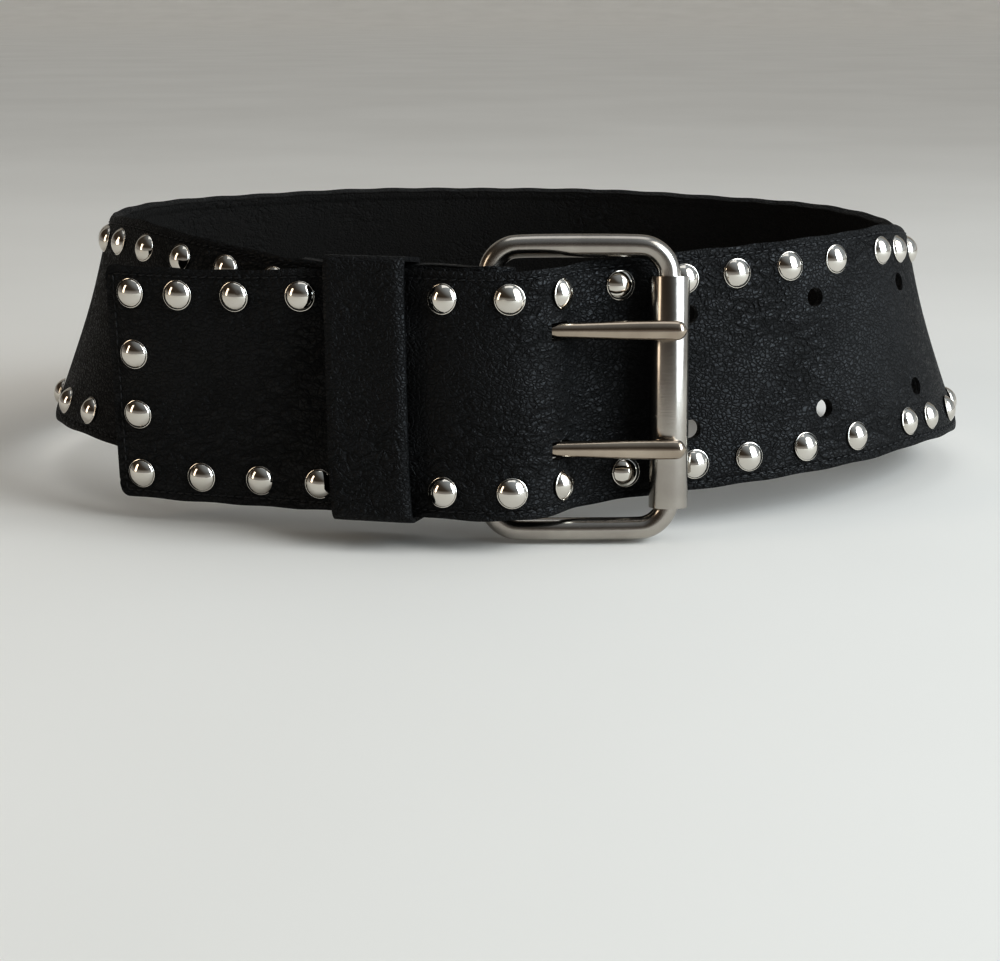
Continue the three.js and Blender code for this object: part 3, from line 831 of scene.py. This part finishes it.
def stitch_mesh():
    """A short thread loop, its poles along the strap."""
    bpy.ops.mesh.primitive_uv_sphere_add(
        segments=8, ring_count=6, radius=0.5, location=(0, 0, 0), rotation=(0, math.pi / 2, 0))
    stitch = named("stitch_pattern")
    apply_place(stitch)
    take(stitch)
    bpy.ops.object.mode_set(mode="EDIT")
    bpy.ops.mesh.select_all(action="SELECT")
    bpy.ops.transform.resize(value=(STITCH_LENGTH, STITCH_WIDTH, STITCH_WIDTH))
    bpy.ops.object.mode_set(mode="OBJECT")
    return stitch


def stitch_places():
    """Length, height and turn of each stitch."""
    places = []
    side = STRAP_WIDTH / 2 - STITCH_INSET
    for height in (side, -side):
        count = int((ROUTE.length - STITCH_END - STITCH_INSET) / STITCH_PITCH)
        for number in range(count):
            length = STITCH_INSET + (number + 0.5) * STITCH_PITCH
            places.append((length, height, STITCH_SLANT))
    count = round(2 * side / STITCH_PITCH)
    for number in range(count):
        height = -side + 2 * side * (number + 0.5) / count
        places.append((STITCH_INSET, height, math.pi / 2 + STITCH_SLANT))
    return places


def joined_copies(name, pattern, matrices):
    """One mesh of many copies of a pattern's mesh."""
    source = np.array([vert.co for vert in pattern.data.vertices])
    faces = [tuple(face.vertices) for face in pattern.data.polygons]
    points = []
    polygons = []
    for number, matrix in enumerate(matrices):
        turn = np.array(matrix.to_3x3())
        points.append(source @ turn.T + np.array(matrix.translation))
        polygons += [tuple(index + number * len(source) for index in face) for face in faces]
    mesh = bpy.data.meshes.new(name)
    mesh.from_pydata(np.concatenate(points).tolist(), [], polygons)
    mesh.update()
    obj = bpy.data.objects.new(name, mesh)
    bpy.context.scene.collection.objects.link(obj)
    return obj


def strap_stitches(material):
    """The thread that lies in the grooves, as one piece."""
    pattern = stitch_mesh()
    depth = STRAP_THICKNESS / 2 - GROOVE_DEPTH + 0.2 * STITCH_WIDTH
    matrices = [
        ROUTE.matrix(length, height, depth + sag(length, height)) @ Matrix.Rotation(turn, 4, "Z")
        for length, height, turn in stitch_places()
    ]
    stitches = joined_copies("strap_stitches", pattern, matrices)
    bpy.data.objects.remove(pattern)
    smooth(stitches, 80)
    finish_piece(stitches, "belt", "black_leather", material)


# Studs: a crowned cap with a thin rim, flat underneath

def stud_pattern():
    """A cap cut from a ball, with a thin flange turned out round its rim, closed underneath."""
    crown = STUD_RADIUS - STUD_FLANGE
    rise = STUD_HEIGHT - STUD_RIM
    ball = (crown**2 + rise**2) / (2 * rise)
    bpy.ops.mesh.primitive_uv_sphere_add(
        segments=32, ring_count=56, radius=ball, location=(0, 0, STUD_HEIGHT - ball))
    stud = named("stud_pattern")
    apply_place(stud)
    take(stud)
    bpy.ops.object.mode_set(mode="EDIT")
    bpy.ops.mesh.select_all(action="SELECT")
    bpy.ops.mesh.bisect(plane_co=(0, 0, STUD_RIM), plane_no=(0, 0, 1), clear_inner=True)
    bpy.ops.mesh.select_all(action="DESELECT")
    bpy.ops.mesh.select_mode(type="EDGE")
    bpy.ops.mesh.select_non_manifold(
        extend=False, use_wire=False, use_multi_face=False, use_non_contiguous=False, use_verts=False)
    for drop, spread in RIM_STEPS:
        bpy.ops.mesh.extrude_region_move(TRANSFORM_OT_translate={"value": (0, 0, -drop)})
        bpy.ops.transform.resize(value=(spread, spread, 1))
    bpy.ops.mesh.edge_face_add()
    bpy.ops.object.mode_set(mode="OBJECT")
    normals_out(stud)
    return stud


def nick(stud, chance):
    """A small knock in a stud's crown, as a setting tool leaves."""
    turn = chance.uniform(0, 2 * math.pi)
    reach = chance.uniform(*NICK_PLACE)
    spot = Vector((reach * math.cos(turn), reach * math.sin(turn), 0))
    width = chance.uniform(*NICK_WIDTH)
    depth = chance.uniform(*NICK_DEPTH)
    for vert in stud.data.vertices:
        away = math.hypot(vert.co.x - spot.x, vert.co.y - spot.y)
        if vert.co.z > STUD_RIM and away < width:
            vert.co.z -= depth * hump(away, 0, width)


def seat_of(node):
    """Middle of a CAD stud's flat base, its largest face."""
    areas = {}
    for face in frame["nodes"][node].data.polygons:
        key = tuple(round(value, 2) for value in face.normal)
        entry = areas.setdefault(key, [0.0, Vector()])
        entry[0] += face.area
        entry[1] += face.center * face.area
    area, middle = max(areas.values(), key=lambda entry: entry[0])
    return middle / area


def tilted(chance):
    """The small tilt that a hand-set stud has."""
    turn = Matrix.Rotation(math.radians(chance.uniform(-STUD_TILT, STUD_TILT)), 4, "X")
    return turn @ Matrix.Rotation(math.radians(chance.uniform(-STUD_TILT, STUD_TILT)), 4, "Y")


def studs(material):
    """A dome for each CAD stud, and a field of domes on the rest of both edges."""
    pattern = stud_pattern()
    chance = random.Random(SEED)
    seats = []
    for node in sorted(name for name in frame["nodes"] if name.startswith("stud_")):
        seats.append(seat_of(node))
        length, height = ROUTE.seat(seats[-1])
        seat = ROUTE.matrix(length, height, STRAP_THICKNESS / 2 + sag(length, height) - STUD_SEAT)
        copy = pattern.copy()
        copy.data = pattern.data.copy()
        copy.name = f"{node}_dome"
        copy.data.name = copy.name
        bpy.context.scene.collection.objects.link(copy)
        nick(copy, chance)
        place_by(copy, seat @ tilted(chance))
        smooth(copy, 40)
        finish_piece(copy, "belt", "stud_metal", material, node)
    height = STRAP_WIDTH / 2 - STUD_INSET
    matrices = []
    for side, pitch in ((height, STUD_PITCH_TOP), (-height, STUD_PITCH_BOTTOM)):
        length = STUD_INSET
        while length < TIP_TO_FOLD - STUD_INSET:
            face = STRAP_THICKNESS / 2 + sag(length, side)
            spot = ROUTE.place(length, side, face)
            if all((spot - point).length > STUD_CLEAR for point in seats):
                matrices.append(ROUTE.matrix(length, side, face) @ tilted(chance))
            length += pitch
    field = joined_copies("stud_field", pattern, matrices)
    bpy.data.objects.remove(pattern)
    smooth(field, 40)
    finish_piece(field, "belt", "stud_metal", material)


# Buckle

def buckle_frame(material):
    """The wire frame, smoothed from its solid."""
    wire = merged_copy("buckle_frame", "buckle_frame_wire")
    round_wire(wire)
    smooth(wire, 60)
    finish_piece(wire, "belt", "brushed_steel", material, "buckle_frame")


def buckle_roller(material):
    """A rolled sheet tube with a butt seam, bevelled rims and its place on the far bar."""
    bpy.ops.mesh.primitive_cylinder_add(
        vertices=96, radius=ROLLER_RADIUS, depth=ROLLER_LENGTH, end_fill_type="NOTHING",
        location=(0, 0, 0), rotation=(math.pi / 2, 0, 0))
    tube = named("buckle_roller_tube")
    apply_place(tube)
    give_wall(tube, ROLLER_WALL)
    bpy.ops.mesh.primitive_cube_add(
        size=1, location=(ROLLER_RADIUS, 0, 0),
        scale=(3 * ROLLER_WALL, 1.2 * ROLLER_LENGTH, ROLLER_SLIT))
    slit = bpy.context.object
    apply_place(slit)
    cut_away(tube, slit, "EXACT")
    soften_edges(tube, ROLLER_RIM, 2, 50)
    verts = frame["nodes"]["buckle_roller"].data.vertices
    middle = sum((vert.co for vert in verts), Vector()) / len(verts)
    turn = Matrix.Rotation(math.radians(ROLLER_SEAM_TURN), 4, "Y")
    place_by(tube, Matrix.Translation(middle) @ BUCKLE.to_3x3().to_4x4() @ turn)
    normals_out(tube)
    smooth(tube, 30)
    finish_piece(tube, "roller", "brushed_steel", material, "buckle_roller")


def prong(node, material):
    """A prong smoothed from its solid: slim where it leaves the strap, wide and blunt at its end."""
    wire = merged_copy(node, f"{node}_wire")
    round_wire(wire)
    inverse = BUCKLE.inverted()
    spots = [inverse @ vert.co for vert in wire.data.vertices]
    middle = sum(spots, Vector()).y / len(spots)
    end = max(spot.x for spot in spots)
    for vert, spot in zip(wire.data.vertices, spots):
        along = spot.x / BAR_SPAN
        share = between(along, SPREAD_START, SPREAD_REACH)
        rise = share * share * (3 - 2 * share)
        grown = PRONG_SLIM + (PRONG_SPREAD - PRONG_SLIM) * rise
        width = 1 + between(along, SLIM_START, SLIM_REACH) * grown
        near_end = max(0.0, spot.x - (end - PRONG_BLUNT)) / PRONG_BLUNT
        round_off = math.sqrt(1 - BLUNT_SHARE * near_end * near_end)
        spot.y = middle + (spot.y - middle) * width * round_off
        if near_end > 0:
            axis = prong_axis(along)
            spot.z = axis + (spot.z - axis) * round_off
        vert.co = BUCKLE @ spot
    smooth(wire, 60)
    finish_piece(wire, "belt", "polished_steel", material, node)


# Keeper

def keeper_axes():
    """The keeper's own axes, size and lean, read from its solid: X sideways, Y up, Z outwards."""
    mesh = frame["nodes"]["keeper_loop"].data
    areas = {}
    for face in mesh.polygons:
        key = tuple(round(value, 2) for value in face.normal)
        areas[key] = areas.get(key, 0.0) + face.area
    out = Vector(max(areas, key=areas.get)).normalized()
    if out.y > 0:
        out = -out
    up = Vector(max((key for key in areas if key[2] > 0.9), key=areas.get)).normalized()
    side = up.cross(out).normalized()
    points = np.array([vert.co for vert in mesh.vertices]) @ np.array([side, up, out]).T
    low, high = points.min(axis=0), points.max(axis=0)
    middle = (low + high) / 2
    top = points[points[:, 1] > high[1] - MM][:, 0]
    bottom = points[points[:, 1] < low[1] + MM][:, 0]
    lean = float(top.mean() - bottom.mean()) / float(high[1] - low[1])
    wide = float(top.max() - top.min())
    middle[0] = (top.mean() + bottom.mean()) / 2
    centre = side * float(middle[0]) + up * float(middle[1]) + out * float(middle[2])
    matrix = Matrix.Translation(centre) @ Matrix((side, up, out)).transposed().to_4x4()
    return matrix, (wide, float(high[1] - low[1]), float(high[2] - low[2])), lean


def cut_across(band, axis, length, step):
    """Even cuts across an open band, so that it can take soft bends."""
    take(band)
    bpy.ops.object.mode_set(mode="EDIT")
    count = int(length / step)
    for number in range(1, count):
        place = -length / 2 + length * number / count
        bpy.ops.mesh.select_all(action="SELECT")
        bpy.ops.mesh.bisect(plane_co=tuple(place * value for value in axis), plane_no=axis)
    bpy.ops.object.mode_set(mode="OBJECT")


def keeper_loop(material):
    """A band of leather: a block with open sides and round corners gets its wall and soft bends."""
    matrix, (wide, tall, deep), lean = keeper_axes()
    bpy.ops.mesh.primitive_cube_add(size=1, location=(0, 0, 0), scale=(wide, tall, deep))
    band = named("keeper_loop_leather")
    apply_place(band)
    edit_only(band, "FACE", lambda face: abs(face.normal.x) > 0.9)
    bpy.ops.mesh.delete(type="ONLY_FACE")
    bpy.ops.mesh.select_all(action="SELECT")
    bpy.ops.mesh.normals_make_consistent(inside=False)

    def crosswise(edge):
        first, second = ends_of(band, edge)
        return abs(first.x - second.x) > 0.5 * wide

    edit_only(band, "EDGE", crosswise)
    bpy.ops.mesh.bevel(offset=KEEPER_CORNER, segments=8, affect="EDGES")
    bpy.ops.object.mode_set(mode="OBJECT")
    cut_across(band, (1, 0, 0), wide, KEEPER_STEP_SIDE)
    cut_across(band, (0, 1, 0), tall, KEEPER_STEP_UP)
    give_wall(band, KEEPER_THICKNESS)
    soften_edges(band, KEEPER_EDGE, 3, 60)
    for vert in band.data.vertices:
        front = max(0.0, vert.co.z / (deep / 2))
        height = vert.co.y / (tall / 2)
        side = vert.co.x / (wide / 2)
        hollow = KEEPER_HOLLOW * front * math.cos(height * math.pi / 2)
        fold = max(0.0, vert.co.x - (wide / 2 - KEEPER_FOLD)) / KEEPER_FOLD
        tuck = max(0.0, -vert.co.x - (wide / 2 - KEEPER_FOLD)) / KEEPER_FOLD
        vert.co.z -= front * (KEEPER_CURL * fold * fold + KEEPER_TUCK * tuck * tuck)
        vert.co.z -= hollow * math.cos(2 * side + 0.4)
        wave = KEEPER_WAVE * math.sin(5 * height + 1) * abs(height)
        vert.co.x += wave + lean * vert.co.y - hollow
        vert.co.y += KEEPER_PULL * max(0.0, -height)
    place_by(band, matrix)
    normals_out(band)
    smooth(band, 50)
    finish_piece(band, "belt", "black_leather", material, "keeper_loop")


# Floor, light and camera

def studio():
    """A pale sheet that lies under the belt and sweeps up behind it."""
    bpy.ops.mesh.primitive_plane_add(size=FLOOR_SIZE, location=(0, 0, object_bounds()[0][2] - FLOOR_GAP))
    floor = named("pale_floor")
    apply_place(floor)
    back = max(vert.co.y for vert in floor.data.vertices)

    def low_and_back(edge):
        return all(end.y > back - MM and end.z < 0 for end in ends_of(floor, edge))

    edit_only(floor, "EDGE", low_and_back)
    bpy.ops.mesh.extrude_region_move(TRANSFORM_OT_translate={"value": (0, 0, WALL_HEIGHT)})
    edit_only(floor, "EDGE", low_and_back)
    bpy.ops.mesh.bevel(offset=SWEEP_RADIUS, segments=16, affect="EDGES")
    bpy.ops.object.mode_set(mode="OBJECT")
    smooth(floor, 30)
    paper = MaterialNodes("pale_floor_paper")
    where = paper.add("ShaderNodeTexCoord").outputs["Object"]
    tone = paper.ramp(paper.noise(where, 3, 3),
                      (0.3, (0.80, 0.775, 0.73)), (0.7, (0.84, 0.815, 0.77)))
    paper.join(tone, paper.shader.inputs["Base Color"])
    paper.shader.inputs["Roughness"].default_value = 0.8
    floor.data.materials.append(paper.material)


def world_light():
    """A dim warm room that is bright towards the right and above, with a pale glow at the horizon."""
    world = bpy.data.worlds.new("soft_room")
    bpy.context.scene.world = world
    room = Nodes(world)
    where = room.add("ShaderNodeTexCoord").outputs["Generated"]
    facing = room.add("ShaderNodeVectorMath", operation="DOT_PRODUCT")
    facing.inputs[1].default_value = BRIGHT_SIDE
    room.join(where, facing.inputs[0])
    rise = room.math("MULTIPLY_ADD", facing.outputs["Value"], 0.5, 0.5)
    sky = room.ramp(rise, (0.30, (0.115, 0.078, 0.045)), (0.62, (0.17, 0.15, 0.13)),
                    (1.0, (0.85, 0.93, 1.0)))
    parts = room.add("ShaderNodeSeparateXYZ")
    room.join(where, parts.inputs[0])
    glow = room.ramp(parts.outputs["Z"], (0.10, (0.50, 0.51, 0.51)), (0.34, 0.0))
    both = room.add("ShaderNodeVectorMath")
    room.join(sky, both.inputs[0])
    room.join(glow, both.inputs[1])
    background = room.tree.nodes["Background"]
    room.join(both.outputs[0], background.inputs["Color"])
    background.inputs["Strength"].default_value = ROOM_STRENGTH


def add_lamp(name, kind, power, color):
    light = bpy.data.lights.new(name, kind)
    light.energy = power
    light.color = color
    lamp = bpy.data.objects.new(name, light)
    bpy.context.scene.collection.objects.link(lamp)
    return lamp, light


def area_light(name, place, size, power, color):
    """A rectangle of light that faces the middle of the belt."""
    lamp, light = add_lamp(name, "AREA", power, color)
    light.shape = "RECTANGLE"
    light.size, light.size_y = size
    lamp.location = place
    lamp.rotation_euler = (-Vector(place)).to_track_quat("-Z", "Y").to_euler()


def lights():
    """A cool window at the right, a small warm one at the left, a dim ceiling and soft daylight."""
    area_light("window_right", place=(1.15, -0.68, 0.52), size=(1.0, 1.0), power=20,
               color=(0.80, 0.91, 1.0))
    area_light("window_left", place=(-1.25, -0.55, 0.48), size=(0.30, 0.9), power=2.6,
               color=(1.0, 0.86, 0.70))
    area_light("ceiling", place=(0.0, 0.1, 1.3), size=(0.9, 0.7), power=1.6,
               color=(1.0, 0.99, 0.97))
    lamp, daylight = add_lamp("daylight", "SUN", power=0.95, color=(1.0, 0.98, 0.95))
    daylight.angle = math.radians(40)
    lamp.rotation_euler = Vector(DAYLIGHT_FROM).to_track_quat("Z", "Y").to_euler()


def camera():
    """The photograph's camera, level sideways and pitched down."""
    lens = bpy.data.cameras.new("photo_camera")
    lens.lens = CAMERA_LENS
    lens.sensor_width = SENSOR_WIDTH
    lens.clip_start = 10 * MM
    obj = bpy.data.objects.new("photo_camera", lens)
    obj.location = CAMERA_PLACE
    obj.rotation_euler = (math.radians(90 - CAMERA_PITCH), 0, 0)
    bpy.context.scene.collection.objects.link(obj)
    bpy.context.scene.camera = obj


bpy.context.scene.view_settings.view_transform = "Standard"
bpy.context.scene.view_settings.look = "High Contrast"
bpy.context.scene.view_settings.exposure = EXPOSURE
camera()
leather = pebbled_leather("black_pebbled_leather", "flat_place")
keeper_leather = pebbled_leather("black_keeper_leather", "")
thread = waxed_thread()
nickel = metal("polished_nickel", light=(0.74, 0.71, 0.66), dark=(0.66, 0.63, 0.58),
               rough=(0.05, 0.10), brush=(1, 1, 1), brush_strength=0.02)
satin = metal("satin_brushed_steel", light=(0.52, 0.49, 0.45), dark=(0.41, 0.38, 0.35),
              rough=(0.15, 0.27), brush=(0.25, 0.25, 4), brush_strength=0.25)
bright = metal("polished_steel_wire", light=(0.56, 0.49, 0.41), dark=(0.42, 0.36, 0.30),
               rough=(0.12, 0.2), brush=(0.3, 2, 2), brush_strength=0.12)

belt_strap(leather)
strap_stitches(thread)
studs(nickel)
buckle_frame(satin)
buckle_roller(satin)
prong("prong_upper", bright)
prong("prong_lower", bright)
keeper_loop(keeper_leather)
studio()
world_light()
lights()
